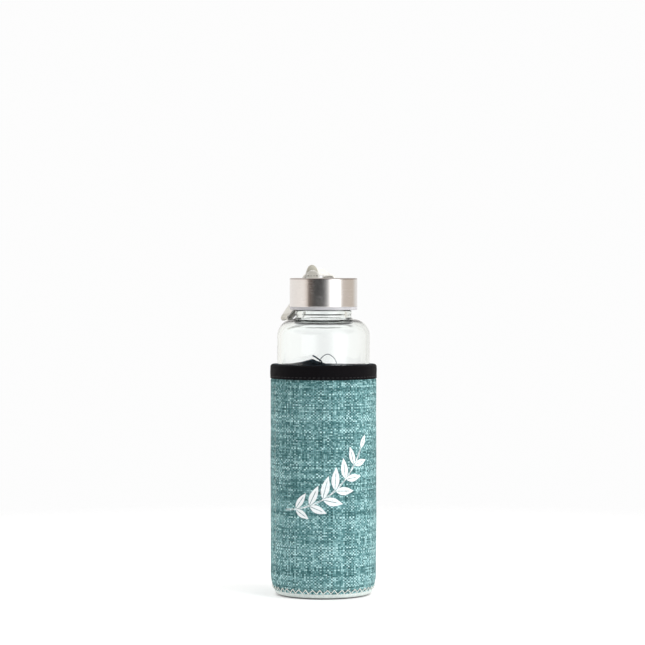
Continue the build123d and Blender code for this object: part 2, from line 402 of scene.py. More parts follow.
def makeWeaveGroup():
    # over-and-under yarns on a cloth whose place is in metres; yarns vary in width, spacing and shade
    group, given, result = newGroup(
        "plainWeave",
        [("Place", "Vector", None), ("Warp Pitch", "Float", 0.00125), ("Weft Pitch", "Float", 0.00102),
         ("Uneven", "Float", 0.6), ("Fullness", "Float", 0.95), ("Seed", "Float", 0.0)],
        [("Height", "Float"), ("Warp On Top", "Float"), ("Yarn Shade", "Float"), ("Gap", "Float"),
         ("Fibre", "Float")])
    split = splitXyz(group, given["Place"])
    alongWarp = over(group, split[1], given["Weft Pitch"])
    alongWeft = over(group, split[0], given["Warp Pitch"])
    wander = []
    for line, cross, shift in ((alongWeft, alongWarp, 3.1), (alongWarp, alongWeft, 57.7)):
        place = vectorOf(group, times(group, line, 0.50), times(group, cross, 0.030),
                         plus(group, given["Seed"], shift))
        push = minus(group, noiseAt(group, place, 1.0, 1.0), 0.5)
        push = times(group, push, times(group, given["Uneven"], 1.5))
        wander.append(plus(group, line, push))
    numbers = [maths(group, "FLOOR", line) for line in wander]
    offsets = [minus(group, maths(group, "FRACT", line), 0.5) for line in wander]
    parity = maths(group, "FLOORED_MODULO", plus(group, *numbers), 2.0)
    sign = timesPlus(group, parity, 2.0, -1.0)
    spot = vectorOf(group, numbers[0], timesPlus(group, numbers[1], 1.0, 0.5), given["Seed"])
    crown = addNode(group, "ShaderNodeTexWhiteNoise", {"Vector": spot}, noise_dimensions="3D").outputs[0]
    heights, shades, fibres = [], [], []
    for mine, other, side, seed in ((0, 1, 0.5, 11.3), (1, 0, -0.5, 71.9)):
        chance = addNode(group, "ShaderNodeTexWhiteNoise", noise_dimensions="2D",
                         inputs={"Vector": vectorOf(group, numbers[mine], given["Seed"], 0.0)}).outputs[0]
        width = timesPlus(group, minus(group, chance, 0.5), given["Uneven"], given["Fullness"])
        across = over(group, times(group, offsets[mine], 2.0), width)
        swell = minus(group, 1.0, times(group, across, across))
        swell = maths(group, "SQRT", larger(group, swell, 0.0))
        wave = maths(group, "COSINE", times(group, offsets[other], math.pi))
        lift = timesPlus(group, times(group, wave, sign), side, 0.5)
        heights.append(times(group, swell, timesPlus(group, lift, 0.85, 0.15)))
        along = wander[other]
        slubPlace = vectorOf(group, times(group, numbers[mine], 3.17), times(group, along, 0.36),
                             plus(group, given["Seed"], seed))
        slub = noiseAt(group, slubPlace, 1.0, 2.0, 0.6)
        shades.append(mixValue(group, 0.28, slub, chance))
        fibrePlace = vectorOf(group, times(group, wander[mine], 9.0),
                              timesPlus(group, across, 1.2, times(group, along, 1.3)),
                              plus(group, given["Seed"], seed))
        fibres.append(noiseAt(group, fibrePlace, 1.0, 2.0, 0.6))
    top = maths(group, "GREATER_THAN", heights[0], heights[1])
    height = larger(group, *heights)
    linkInto(group, result["Height"], height)
    linkInto(group, result["Warp On Top"], top)
    shade = mixValue(group, top, shades[1], shades[0])
    shade = mixValue(group, times(group, given["Uneven"], 0.50), shade, crown)
    linkInto(group, result["Yarn Shade"], shade)
    linkInto(group, result["Gap"], fadeBetween(group, height, 0.42, 0.12))
    linkInto(group, result["Fibre"], mixValue(group, top, fibres[1], fibres[0]))
    return group


def makeFuzzGroup():
    # short fibres and a little lint over cloth and thread
    group, given, result = newGroup("fibreFuzz", [("Place", "Vector", None), ("Size", "Float", 0.0004)],
                                    [("Height", "Float"), ("Lint", "Float")])
    scale = over(group, 1.0, given["Size"])
    fine = noiseAt(group, given["Place"], scale, 3.0, 0.65)
    broad = noiseAt(group, given["Place"], times(group, scale, 0.03), 2.0, 0.5)
    linkInto(group, result["Height"], fine)
    linkInto(group, result["Lint"], times(group, fadeBetween(group, fine, 0.62, 0.8), broad))
    return group


def makeSoilGroup():
    # handling marks: broad soft patches, more of them towards the foot
    group, given, result = newGroup("handlingMarks", [("Place", "Vector", None),
                                                      ("Patch Size", "Float", 0.03),
                                                      ("Foot Height", "Float", 0.01)],
                                    [("Patches", "Float"), ("Foot", "Float")])
    scale = over(group, 1.0, given["Patch Size"])
    patches = noiseAt(group, given["Place"], scale, 4.0, 0.6)
    split = splitXyz(group, given["Place"])
    low = minus(group, 1.0, over(group, split[2], given["Foot Height"]), clamp=True)
    linkInto(group, result["Patches"], fadeBetween(group, patches, 0.35, 0.7))
    linkInto(group, result["Foot"], times(group, low, patches))
    return group


def makeBrushingGroup():
    # fine lines brushed round the axis, in strokes of uneven depth
    group, given, result = newGroup(
        "brushedLines", [("Place", "Vector", None), ("Line Height", "Float", 0.00012)],
        [("Lines", "Float"), ("Strokes", "Float"), ("Scuffs", "Float")])
    split = splitXyz(group, given["Place"])
    turn = maths(group, "ARCTAN2", split[1], split[0])
    reach = maths(group, "SQRT", plus(group, times(group, split[0], split[0]),
                                      times(group, split[1], split[1])))
    # on the wall the lines stack up the height, and on the top they stack outwards
    stack = over(group, plus(group, split[2], reach), given["Line Height"])
    lines = noiseAt(group, vectorOf(group, stack, maths(group, "COSINE", turn), maths(group, "SINE", turn)),
                    1.0, 2.0, 0.6)
    wide = times(group, stack, 0.16)
    strokes = noiseAt(group, vectorOf(group, wide, times(group, maths(group, "COSINE", turn), 4.0),
                                      times(group, maths(group, "SINE", turn), 4.0)), 1.0, 3.0, 0.6)
    scuffs = noiseAt(group, given["Place"], 900.0, 5.0, 0.7)
    linkInto(group, result["Lines"], lines)
    linkInto(group, result["Strokes"], strokes)
    linkInto(group, result["Scuffs"], fadeBetween(group, scuffs, 0.66, 0.78))
    return group


def makeLeafGroup():
    # one printed leaf: pointed at both ends, with a thin vein left clear
    group, given, result = newGroup("printedLeaf", [("Place", "Vector", None), ("Centre X", "Float", 0.0),
                                                    ("Centre Y", "Float", 0.0), ("Lean", "Float", 0.0),
                                                    ("Length", "Float", 0.012), ("Width", "Float", 0.004)],
                                    [("Ink", "Float")])
    split = splitXyz(group, given["Place"])
    dx = minus(group, split[0], given["Centre X"])
    dy = minus(group, split[1], given["Centre Y"])
    cosine = maths(group, "COSINE", given["Lean"])
    sine = maths(group, "SINE", given["Lean"])
    along = plus(group, times(group, dx, cosine), times(group, dy, sine))
    across = minus(group, times(group, dy, cosine), times(group, dx, sine))
    share = plus(group, over(group, along, given["Length"]), 0.5, clamp=True)
    belly = maths(group, "SINE", times(group, maths(group, "POWER", share, 0.8), math.pi))
    half = times(group, times(group, given["Width"], 0.5), belly)
    off = maths(group, "ABSOLUTE", across)
    inside = fadeBetween(group, minus(group, half, off), 0.0, 0.00018)
    vein = fadeBetween(group, off, 0.00012, 0.0003)
    vein = larger(group, vein, fadeBetween(group, share, 0.62, 0.8))
    linkInto(group, result["Ink"], times(group, inside, vein))
    return group


weave = makeWeaveGroup()
fuzz = makeFuzzGroup()
soil = makeSoilGroup()
brushing = makeBrushingGroup()
leaf = makeLeafGroup()


# materials

shellLow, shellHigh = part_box("cap_shell")


def startMaterial(name, **plain):
    material = bpy.data.materials.new(name)
    material.use_nodes = True
    tree = material.node_tree
    shader = tree.nodes["Principled BSDF"]
    for label, value in plain.items():
        socket = shader.inputs[label.replace("_", " ")]
        socket.default_value = (*value, 1) if hasattr(value, "__len__") else value
    return material, tree, shader.inputs


def objectPlace(tree):
    return addNode(tree, "ShaderNodeTexCoord").outputs["Object"]


def clothPlace(tree, width, length, originShare=0.0):
    # the piece's own UV map, in metres across and up the cloth
    spot = addNode(tree, "ShaderNodeTexCoord").outputs["UV"]
    mapping = addNode(tree, "ShaderNodeMapping", {"Vector": spot, "Location": (-originShare * width, 0, 0),
                                                  "Scale": (width, length, 1)})
    return mapping.outputs[0]


def addBump(tree, inputs, height, depth, strength=1.0):
    bump = addNode(tree, "ShaderNodeBump", {"Height": height, "Distance": depth, "Strength": strength})
    linkInto(tree, inputs["Normal"], bump.outputs[0])


tealCloth = {
    "width": 0.2337, "length": 0.1579, "frontShare": (270 - 204) / 360,
    "warp": 0.00126, "weft": 0.00104,
    "deep": (0.007, 0.032, 0.034), "dark": (0.028, 0.100, 0.105), "mid": (0.080, 0.215, 0.225),
    "light": (0.215, 0.425, 0.440), "pale": (0.50, 0.76, 0.78),
    "ink": (0.84, 0.88, 0.90),
}

sprig = {
    # a stem that sweeps up to the right, with leaves in pairs along it
    # places are in metres on the cloth, with the front centre at 0
    "low": (-0.028, 0.0585), "bend": (0.010, 0.0600), "high": (0.0285, 0.1010),
    "pairs": 6, "leafLength": 0.0172, "leafWidth": 0.0062, "spread": math.radians(46),
}


def stemPoint(share):
    low, bend, high = (Vector(sprig[name]) for name in ("low", "bend", "high"))
    return low * (1 - share) ** 2 + bend * 2 * share * (1 - share) + high * share ** 2


def sprigInk(tree, place):
    ink = None
    stemPieces = 10
    for i in range(stemPieces):
        start, end = stemPoint(i / stemPieces), stemPoint((i + 1) / stemPieces)
        run = end - start
        middle = (start + end) / 2
        piece = useGroup(tree, leaf, Place=place, Centre_X=middle.x, Centre_Y=middle.y,
                         Lean=math.atan2(run.y, run.x), Length=run.length * 1.9, Width=0.0013)["Ink"]
        ink = piece if ink is None else larger(tree, ink, piece)
    for i in range(sprig["pairs"] + 1):
        share = 0.10 + 0.90 * i / sprig["pairs"]
        at, ahead = stemPoint(share), stemPoint(min(1, share + 0.02)) - stemPoint(share - 0.02)
        lean = math.atan2(ahead.y, ahead.x)
        size = 1 - 0.32 * abs(share - 0.45) / 0.55
        sides = (-1, 1) if i < sprig["pairs"] else (0,)
        for side in sides:
            turn = lean + side * sprig["spread"] * (1.0 if side > 0 else 0.9)
            reach = sprig["leafLength"] * size * (1.0 if side > 0 else 0.86)
            centre = at + Vector((math.cos(turn), math.sin(turn))) * reach * 0.54
            piece = useGroup(tree, leaf, Place=place, Centre_X=centre.x, Centre_Y=centre.y, Lean=turn,
                             Length=reach, Width=sprig["leafWidth"] * size)["Ink"]
            ink = larger(tree, ink, piece)
    return ink


def makeTealCloth():
    material, tree, inputs = startMaterial("tealCloth", Roughness=0.85, Sheen_Weight=0.06,
                                           Sheen_Roughness=0.45, Specular_IOR_Level=0.2)
    place = clothPlace(tree, tealCloth["width"], tealCloth["length"], tealCloth["frontShare"])
    yarn = useGroup(tree, weave, Place=place, Warp_Pitch=tealCloth["warp"], Weft_Pitch=tealCloth["weft"],
                    Uneven=0.62, Fullness=0.93, Seed=4.0)
    hairs = useGroup(tree, fuzz, Place=objectPlace(tree), Size=0.00022)
    marks = useGroup(tree, soil, Place=objectPlace(tree), Patch_Size=0.022, Foot_Height=0.016)
    shade = timesPlus(tree, minus(tree, yarn["Fibre"], 0.5), 0.55, yarn["Yarn Shade"])
    shade = timesPlus(tree, minus(tree, marks["Patches"], 0.5), 0.05, shade)
    # the weft is the paler yarn
    shade = timesPlus(tree, minus(tree, 0.5, yarn["Warp On Top"]), 0.15, shade)
    colour = colourRamp(tree, shade, [(0.24, tealCloth["dark"]), (0.45, tealCloth["mid"]),
                                      (0.60, tealCloth["light"]), (0.76, tealCloth["pale"])])
    dip = fadeBetween(tree, yarn["Height"], 0.66, 0.16)
    colour = mixColour(tree, dip, colour, tealCloth["deep"])
    colour = mixColour(tree, times(tree, hairs["Lint"], 0.35), colour, tealCloth["pale"])
    ink = sprigInk(tree, place)
    ink = times(tree, ink, fadeBetween(tree, yarn["Height"], 0.03, 0.16))
    colour = mixColour(tree, ink, colour, tealCloth["ink"])
    colour = mixColour(tree, times(tree, marks["Foot"], 0.25), colour, (0.20, 0.26, 0.25))
    linkInto(tree, inputs["Base Color"], colour)
    linkInto(tree, inputs["Roughness"], mixValue(tree, ink, 0.86, 0.5))
    height = timesPlus(tree, yarn["Fibre"], 0.22, yarn["Height"])
    height = timesPlus(tree, hairs["Height"], 0.10, height)
    height = mixValue(tree, times(tree, ink, 0.45), height, 0.8)
    addBump(tree, inputs, height, 0.00042, 0.75)
    return material


def makeElastic():
    material, tree, inputs = startMaterial("blackElastic", Roughness=0.8, Sheen_Weight=0.03,
                                           Sheen_Roughness=0.4, Specular_IOR_Level=0.06)
    place = objectPlace(tree)
    split = splitXyz(tree, place)
    turn = maths(tree, "ARCTAN2", split[1], split[0])
    reach = lengthOf(tree, vectorOf(tree, split[0], split[1]))
    flat = vectorOf(tree, times(tree, turn, 0.0372), split[2])
    yarn = useGroup(tree, weave, Place=flat, Warp_Pitch=0.0006, Weft_Pitch=0.00085, Uneven=0.2,
                    Fullness=1.05, Seed=9.0)
    hairs = useGroup(tree, fuzz, Place=place, Size=0.0003)
    colour = mixColour(tree, yarn["Yarn Shade"], (0.0016, 0.0014, 0.0018), (0.0060, 0.0052, 0.0066))
    colour = mixColour(tree, yarn["Gap"], colour, (0.0015, 0.0015, 0.0018))
    colour = mixColour(tree, times(tree, hairs["Lint"], 0.10), colour, (0.10, 0.10, 0.12))
    # the turned-in side is painted a lighter slate blue
    inner = mixColour(tree, yarn["Yarn Shade"], (0.016, 0.024, 0.036), (0.060, 0.085, 0.115))
    colour = mixColour(tree, fadeBetween(tree, reach, 0.0361, 0.0350), colour, inner)
    linkInto(tree, inputs["Base Color"], colour)
    linkInto(tree, inputs["Roughness"], mixValue(tree, yarn["Fibre"], 0.6, 0.85))
    addBump(tree, inputs, timesPlus(tree, hairs["Height"], 0.2, yarn["Height"]), 0.00016, 0.7)
    return material


def makeGlass():
    material, tree, inputs = startMaterial("clearGlass", Roughness=0.0, IOR=1.5, Transmission_Weight=1.0,
                                           Base_Color=(1.0, 1.0, 1.0))
    place = objectPlace(tree)
    ripple = noiseAt(tree, place, 70.0, 2.0, 0.5)
    wipe = useGroup(tree, soil, Place=place, Patch_Size=0.012, Foot_Height=0.02)
    tint = mixColour(tree, wipe["Patches"], (0.992, 0.997, 0.995), (0.997, 0.999, 0.998))
    linkInto(tree, inputs["Base Color"], tint)
    linkInto(tree, inputs["Roughness"], mixValue(tree, wipe["Patches"], 0.004, 0.02))
    addBump(tree, inputs, ripple, 0.0004, 0.12)
    absorb = addNode(tree, "ShaderNodeVolumeAbsorption", {"Color": (0.45, 0.80, 0.66, 1), "Density": 14.0})
    tree.links.new(absorb.outputs[0], tree.nodes["Material Output"].inputs["Volume"])
    return material


def makeBrushedSteel():
    material, tree, inputs = startMaterial("brushedSteel", Metallic=1.0, Roughness=0.24, Anisotropic=0.8,
                                           Anisotropic_Rotation=0.25, Base_Color=(0.74, 0.72, 0.70))
    place = objectPlace(tree)
    lines = useGroup(tree, brushing, Place=place, Line_Height=0.00014)
    marks = useGroup(tree, soil, Place=place, Patch_Size=0.008, Foot_Height=0.01)
    colour = mixColour(tree, lines["Strokes"], (0.70, 0.68, 0.665), (0.80, 0.785, 0.77))
    colour = mixColour(tree, times(tree, lines["Scuffs"], 0.35), colour, (0.55, 0.53, 0.51))
    # painted dark reflection round the top edge
    split = splitXyz(tree, place)
    reach = lengthOf(tree, vectorOf(tree, split[0], split[1]))
    corner = shellHigh.x + shellHigh.z
    edge = fadeBetween(tree, plus(tree, reach, split[2]), corner - 0.0011, corner - 0.0006)
    colour = mixColour(tree, times(tree, edge, 0.75), colour, (0.24, 0.19, 0.165))
    linkInto(tree, inputs["Base Color"], colour)
    rough = mixValue(tree, lines["Lines"], 0.17, 0.30)
    linkInto(tree, inputs["Roughness"], timesPlus(tree, marks["Patches"], 0.03, rough))
    tangent = addNode(tree, "ShaderNodeTangent", direction_type="RADIAL", axis="Z")
    linkInto(tree, inputs["Tangent"], tangent.outputs[0])
    addBump(tree, inputs, lines["Lines"], 0.00001, 0.35)
    return material


def makePolishedSteel():
    material, tree, inputs = startMaterial("polishedSteel", Metallic=1.0, Roughness=0.14)
    lines = useGroup(tree, brushing, Place=objectPlace(tree), Line_Height=0.0002)
    colour = mixColour(tree, lines["Strokes"], (0.70, 0.70, 0.71), (0.80, 0.80, 0.81))
    linkInto(tree, inputs["Base Color"], colour)
    linkInto(tree, inputs["Roughness"], mixValue(tree, lines["Scuffs"], 0.12, 0.35))
    return material


def makePlastic(name, first, second, rough, **plain):
    material, tree, inputs = startMaterial(name, Roughness=rough, **plain)
    place = objectPlace(tree)
    grain = noiseAt(tree, place, 4200.0, 2.0, 0.6)
    marks = useGroup(tree, soil, Place=place, Patch_Size=0.009, Foot_Height=0.01)
    colour = mixColour(tree, marks["Patches"], first, second)
    linkInto(tree, inputs["Base Color"], colour)
    linkInto(tree, inputs["Roughness"], mixValue(tree, grain, rough - 0.07, rough + 0.1))
    addBump(tree, inputs, timesPlus(tree, marks["Patches"], 0.5, grain), 0.00002, 0.4)
    return material


def makeWebbing(length, shadedFolds):
    # folds: where along the webbing it is creased, how far the painted shade at each crease reaches, and how
    # dark it is
    material, tree, inputs = startMaterial("strapWebbing", Roughness=0.8, Sheen_Weight=0.15,
                                           Sheen_Roughness=0.4, Specular_IOR_Level=0.25)
    place = clothPlace(tree, 0.0094, length)
    yarn = useGroup(tree, weave, Place=place, Warp_Pitch=0.00062, Weft_Pitch=0.0009, Uneven=0.18,
                    Fullness=1.02, Seed=2.0)
    hairs = useGroup(tree, fuzz, Place=objectPlace(tree), Size=0.00025)
    split = splitXyz(tree, place)
    along = split[1]
    edge = maths(tree, "ABSOLUTE", minus(tree, split[0], 0.0047))
    # the selvedges and the cut end: raised in the bump, and painted lighter as an edge highlight
    selvedgeAndHighlight = larger(tree, fadeBetween(tree, edge, 0.0038, 0.0042), fadeBetween(tree, along, 0.0011, 0.0006))
    colour = mixColour(tree, yarn["Yarn Shade"], (0.72, 0.71, 0.65), (0.92, 0.915, 0.88))
    colour = mixColour(tree, times(tree, yarn["Gap"], 0.6), colour, (0.40, 0.38, 0.31))
    # painted shade over the tab in front of the bar, parting it from the leg behind
    tab = fadeBetween(tree, along, 0.0085, 0.0070)
    colour = mixColour(tree, times(tree, tab, 0.55), colour, (0.46, 0.44, 0.38))
    # painted shade at the creases: a darker khaki over each fold
    for middle, reach, depth in shadedFolds:
        away = maths(tree, "ABSOLUTE", minus(tree, along, middle))
        foldShade = times(tree, fadeBetween(tree, away, reach, reach * 0.5), depth)
        colour = mixColour(tree, foldShade, colour, (0.36, 0.345, 0.27))
    # painted highlight along the selvedges and the tab's cut end
    colour = mixColour(tree, times(tree, selvedgeAndHighlight, 0.55), colour, (0.90, 0.90, 0.87))
    linkInto(tree, inputs["Base Color"], colour)
    height = timesPlus(tree, hairs["Height"], 0.25, yarn["Height"])
    height = timesPlus(tree, selvedgeAndHighlight, 0.4, height)
    addBump(tree, inputs, height, 0.00022, 0.8)
    return material


def makeThread(name, first, second, size=0.00035, rough=0.65):
    material, tree, inputs = startMaterial(name, Roughness=rough, Sheen_Weight=0.15, Sheen_Roughness=0.4)
    place = objectPlace(tree)
    hairs = useGroup(tree, fuzz, Place=place, Size=size)
    # two plies twisted together
    twist = addNode(tree, "ShaderNodeTexWave", {"Vector": place, "Scale": 0.32 / size, "Distortion": 1.5,
                                                "Detail": 1.0}, wave_type="BANDS", bands_direction="DIAGONAL")
    ply = twist.outputs["Fac"]
    linkInto(tree, inputs["Base Color"], mixColour(tree, mixValue(tree, 0.5, ply, hairs["Height"]), first,
                                                   second))
    linkInto(tree, inputs["Roughness"], mixValue(tree, ply, rough - 0.1, rough + 0.15))
    addBump(tree, inputs, timesPlus(tree, hairs["Height"], 0.4, ply), 0.00008, 0.8)
    return material


def makeFoam():
    material, tree, inputs = startMaterial("greyFoam", Roughness=0.95)
    place = objectPlace(tree)
    cells = addNode(tree, "ShaderNodeTexVoronoi", {"Vector": place, "Scale": 1600.0}).outputs["Distance"]
    broad = noiseAt(tree, place, 90.0, 3.0, 0.5)
    colour = mixColour(tree, cells, (0.035, 0.037, 0.04), (0.10, 0.105, 0.11))
    linkInto(tree, inputs["Base Color"], mixColour(tree, times(tree, broad, 0.4), colour,
                                                   (0.13, 0.13, 0.14)))
    addBump(tree, inputs, cells, 0.0002, 0.8)
    return material


def makeKnit(name, width, length, first, second, flat=False):
    # jersey lining: columns of small slanted loops
    material, tree, inputs = startMaterial(name, Roughness=0.85, Sheen_Weight=0.3, Sheen_Roughness=0.5)
    place = objectPlace(tree) if flat else clothPlace(tree, width, length)
    split = splitXyz(tree, place)
    column = over(tree, split[0], 0.0011)
    slant = maths(tree, "ABSOLUTE", minus(tree, maths(tree, "FRACT", column), 0.5))
    course = plus(tree, over(tree, split[1], 0.0009), times(tree, slant, 1.4))
    loop = maths(tree, "ABSOLUTE", maths(tree, "SINE", times(tree, course, math.pi)))
    loop = times(tree, loop, maths(tree, "SINE", maths(tree, "MULTIPLY",
                                                                  maths(tree, "FRACT", column), math.pi)))
    hairs = useGroup(tree, fuzz, Place=objectPlace(tree), Size=0.0003)
    colour = mixColour(tree, timesPlus(tree, hairs["Height"], 0.4, times(tree, loop, 0.7)), first, second)
    linkInto(tree, inputs["Base Color"], colour)
    addBump(tree, inputs, timesPlus(tree, hairs["Height"], 0.4, loop), 0.00018, 0.7)
    return material


def makeBaseCloth():
    material, tree, inputs = startMaterial("paleBaseCloth", Roughness=0.8, Sheen_Weight=0.2,
                                           Sheen_Roughness=0.4)
    place = objectPlace(tree)
    yarn = useGroup(tree, weave, Place=place, Warp_Pitch=0.0007, Weft_Pitch=0.0007, Uneven=0.3,
                    Fullness=1.0, Seed=6.0)
    marks = useGroup(tree, soil, Place=place, Patch_Size=0.012, Foot_Height=0.0022)
    hairs = useGroup(tree, fuzz, Place=place, Size=0.0003)
    colour = mixColour(tree, yarn["Yarn Shade"], (0.50, 0.57, 0.55), (0.76, 0.81, 0.79))
    colour = mixColour(tree, times(tree, yarn["Gap"], 0.5), colour, (0.22, 0.30, 0.29))
    under = fadeBetween(tree, splitXyz(tree, place)[2], 0.0014, 0.0006)
    # dirt and painted shade together: the foot marks darken the lowest 2.2 mm
    colour = mixColour(tree, times(tree, marks["Foot"], 0.5), colour, (0.20, 0.22, 0.21))
    # painted contact shadow: nearly black over the last 1.4 mm above the floor
    colour = mixColour(tree, times(tree, under, 0.94), colour, (0.030, 0.035, 0.034))
    linkInto(tree, inputs["Base Color"], colour)
    addBump(tree, inputs, timesPlus(tree, hairs["Height"], 0.3, yarn["Height"]), 0.00018, 0.7)
    return material


# glass bottle

glassLow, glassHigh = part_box("glass_bottle")
glassShape = {
    "radius": glassHigh.x, "foot": glassLow.z, "mouth": glassHigh.z,
    "wall": 0.0025, "base": 0.006, "punt": 0.0026, "footRound": 0.004,
    "shoulderDrop": 0.0264, "shoulderRise": 0.0012, "shoulderRound": 0.0116,
    "neckRadius": 0.0195, "beadRadius": 0.01985, "beadDrop": 0.0208,
    "threadRoot": 0.0176, "mouthRadius": 0.0154,
    "ridgeReach": 0.0188, "ridgeDrop": 0.0135, "ridgeRoot": 0.0022, "ridgeCrest": 0.0010,
    "pitch": 0.0042333, "ridgeTurns": 1.75,
}


def makeThreadRidge():
    # a small section carried round and up the neck, with its root sunk in the glass
    shape = glassShape
    root, crest = shape["threadRoot"] - 0.0003, shape["ridgeReach"]
    start = shape["mouth"] - shape["ridgeDrop"]
    halfRoot, halfCrest = shape["ridgeRoot"] / 2, shape["ridgeCrest"] / 2
    section = [(root, start - halfRoot), (crest, start - halfCrest), (root, start + halfRoot),
               (crest, start + halfCrest)]
    clearSelection()
    bpy.ops.mesh.primitive_plane_add(size=0.001, location=(0, 0, 0))
    ridge = bpy.context.object
    for vertex, (radius, height) in zip(ridge.data.vertices, section):
        vertex.co = (radius, 0, height)
    bpy.ops.object.mode_set(mode="EDIT")
    bpy.ops.mesh.select_all(action="SELECT")
    steps = round(72 * shape["ridgeTurns"])
    for _ in range(steps):
        bpy.ops.mesh.extrude_region_move(
            TRANSFORM_OT_translate={"value": (0, 0, shape["pitch"] * shape["ridgeTurns"] / steps)})
        # a negative turn runs counter-clockwise here, which makes the thread right-handed
        bpy.ops.transform.rotate(value=-2 * math.pi * shape["ridgeTurns"] / steps, orient_axis="Z",
                                 center_override=(0, 0, 0))
    mendShell(ridge)
    return ridge


def makeGlassBottle():
    shape = glassShape
    inside = shape["radius"] - shape["wall"]
    shoulder = shape["mouth"] - shape["shoulderDrop"]
    bead = shape["mouth"] - shape["beadDrop"]
    floor = shape["foot"] + shape["base"]
    corners = [
        (0, shape["foot"] + shape["punt"], 0),
        (0.016, shape["foot"] + shape["punt"] * 0.7, 0.012),
        (0.025, shape["foot"], 0.002),
        (shape["radius"], shape["foot"], shape["footRound"]),
        (shape["radius"], shoulder, shape["shoulderRound"]),
        (shape["neckRadius"], shoulder + shape["shoulderRise"], 0.0022),
        (shape["neckRadius"], bead - 0.0017, 0.0008),
        (shape["beadRadius"], bead - 0.0007, 0.0008),
        (shape["beadRadius"], bead + 0.0013, 0.0010),
        (shape["threadRoot"], bead + 0.0022, 0.0008),
        (shape["threadRoot"], shape["mouth"], 0.0009),
        (shape["mouthRadius"], shape["mouth"], 0.0009),
        (shape["mouthRadius"], shoulder - shape["wall"] + 0.0010, 0.0050),
        (inside, shoulder - shape["wall"], 0.0090),
        (inside, floor, 0.006),
        (0.016, floor + 0.0006, 0.012),
        (0, floor + 0.0012, 0),
    ]
    bottle = spinOutline(roundOff(corners, math.radians(7)), 192)
    ridge = makeThreadRidge()
    applyModifier(bottle, "BOOLEAN", object=ridge, operation="UNION", solver="EXACT")
    bpy.data.objects.remove(ridge)
    return finishPiece(bottle, "glassBottle", "bottle", makeGlass(), ["glass_bottle"], 60)


makeGlassBottle()


# sleeve: every layer follows the same wall, drawn in to the foot and pinched under the binding

outerLow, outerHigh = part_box("sleeve_outer_fabric")
bindingLow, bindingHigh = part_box("rim_binding")
sleeve = {
    "foot": outerLow.z, "top": outerHigh.z, "grip": bindingLow.z, "seam": math.radians(204),
    "outer": (0.0344, outerHigh.x, 0.03665), "foam": (0.0339, 0.0363, 0.0360),
    "lining": (0.0333, 0.0333, 0.03415), "inner": (0.0328, 0.0328, 0.03365),
    "drawIn": 0.0113, "softness": 0.00022, "backSag": 0.0012,
}


def wallRadius(face, height):
    foot, wall, rim = face
    spread = wall - foot
    up = height - sleeve["foot"]
    if spread > 0 and up < sleeve["drawIn"]:
        bend = (spread ** 2 + sleeve["drawIn"] ** 2) / (2 * spread)
        return wall - bend + math.sqrt(bend ** 2 - (sleeve["drawIn"] - up) ** 2)
    return wall + (rim - wall) * smoothStep(sleeve["grip"] - 0.0012, sleeve["grip"] + 0.0002, height)


def faceOf(face):
    def place(share):
        height = sleeve["foot"] + share * (sleeve["top"] - sleeve["foot"])
        return wallRadius(face, height), height
    return place


def softness(spot):
    # broad hollows of a hand-sewn sleeve, the same for every layer
    return sleeve["softness"] * (noise.noise(spot * 27) + 0.45 * noise.noise(spot * 75))


def settleSleeve(piece, soften=1.0):
    # the rim sits a little lower at the back, and the wall isn't quite round
    for vertex in piece.data.vertices:
        spot = vertex.co.copy()
        reach = math.hypot(spot.x, spot.y)
        if reach < 0.001:
            continue
        loose = smoothStep(sleeve["foot"] + 0.002, sleeve["foot"] + 0.014, spot.z)
        loose *= 1 - 0.75 * smoothStep(sleeve["grip"] - 0.008, sleeve["grip"], spot.z)
        share = 1 + soften * loose * softness(spot) / reach
        back = smoothStep(0.1, 0.95, spot.y / reach) * smoothStep(0.125, 0.158, spot.z)
        vertex.co = (spot.x * share, spot.y * share, spot.z - sleeve["backSag"] * back)
    return piece


def makeOuterFabric():
    cloth = wrapCloth(256, 150, faceOf(sleeve["outer"]), sleeve["seam"])
    settleSleeve(cloth)
    for vertex in cloth.data.vertices:
        spot = vertex.co.copy()
        reach = math.hypot(spot.x, spot.y)
        turn = math.atan2(spot.y, spot.x)
        off = abs((turn - sleeve["seam"] + math.pi) % (2 * math.pi) - math.pi) * reach
        groove = 0.0004 * (1 - smoothStep(0.0001, 0.0010, off))
        swell = 0.00012 * smoothStep(0.0008, 0.0018, off) * (1 - smoothStep(0.002, 0.005, off))
        # small puckers where the binding and the foot stitching pull
        pull = 0.00010 * math.sin(turn * 72) * (1 - smoothStep(0.0, 0.004, sleeve["grip"] - spot.z))
        pull *= 1 - smoothStep(sleeve["grip"], sleeve["grip"] + 0.001, spot.z)
        pull += 0.00012 * math.sin(turn * 44) * (1 - smoothStep(0.002, 0.009, spot.z - sleeve["foot"]))
        share = 1 + (swell - groove + pull) / reach
        vertex.co = (spot.x * share, spot.y * share, spot.z)
    applyModifier(cloth, "SOLIDIFY", thickness=0.0009, offset=-1)
    cloth = finishPiece(cloth, "outerFabric", "sleeve", makeTealCloth(),
                        ["sleeve_outer_fabric"])
    return cloth


def wallOutline(outside, inside, rows=40):
    heights = [sleeve["foot"] + (sleeve["top"] - sleeve["foot"]) * i / rows for i in range(rows + 1)]
    outline = [Vector((wallRadius(outside, height), height)) for height in heights]
    return outline + [Vector((wallRadius(inside, height), height)) for height in reversed(heights)]


def makeFoamWall():
    wall = spinOutline(wallOutline(sleeve["foam"], sleeve["lining"]), 128)
    settleSleeve(wall)
    wall = finishPiece(wall, "foamWall", "sleeve", makeFoam(), ["sleeve_foam"])


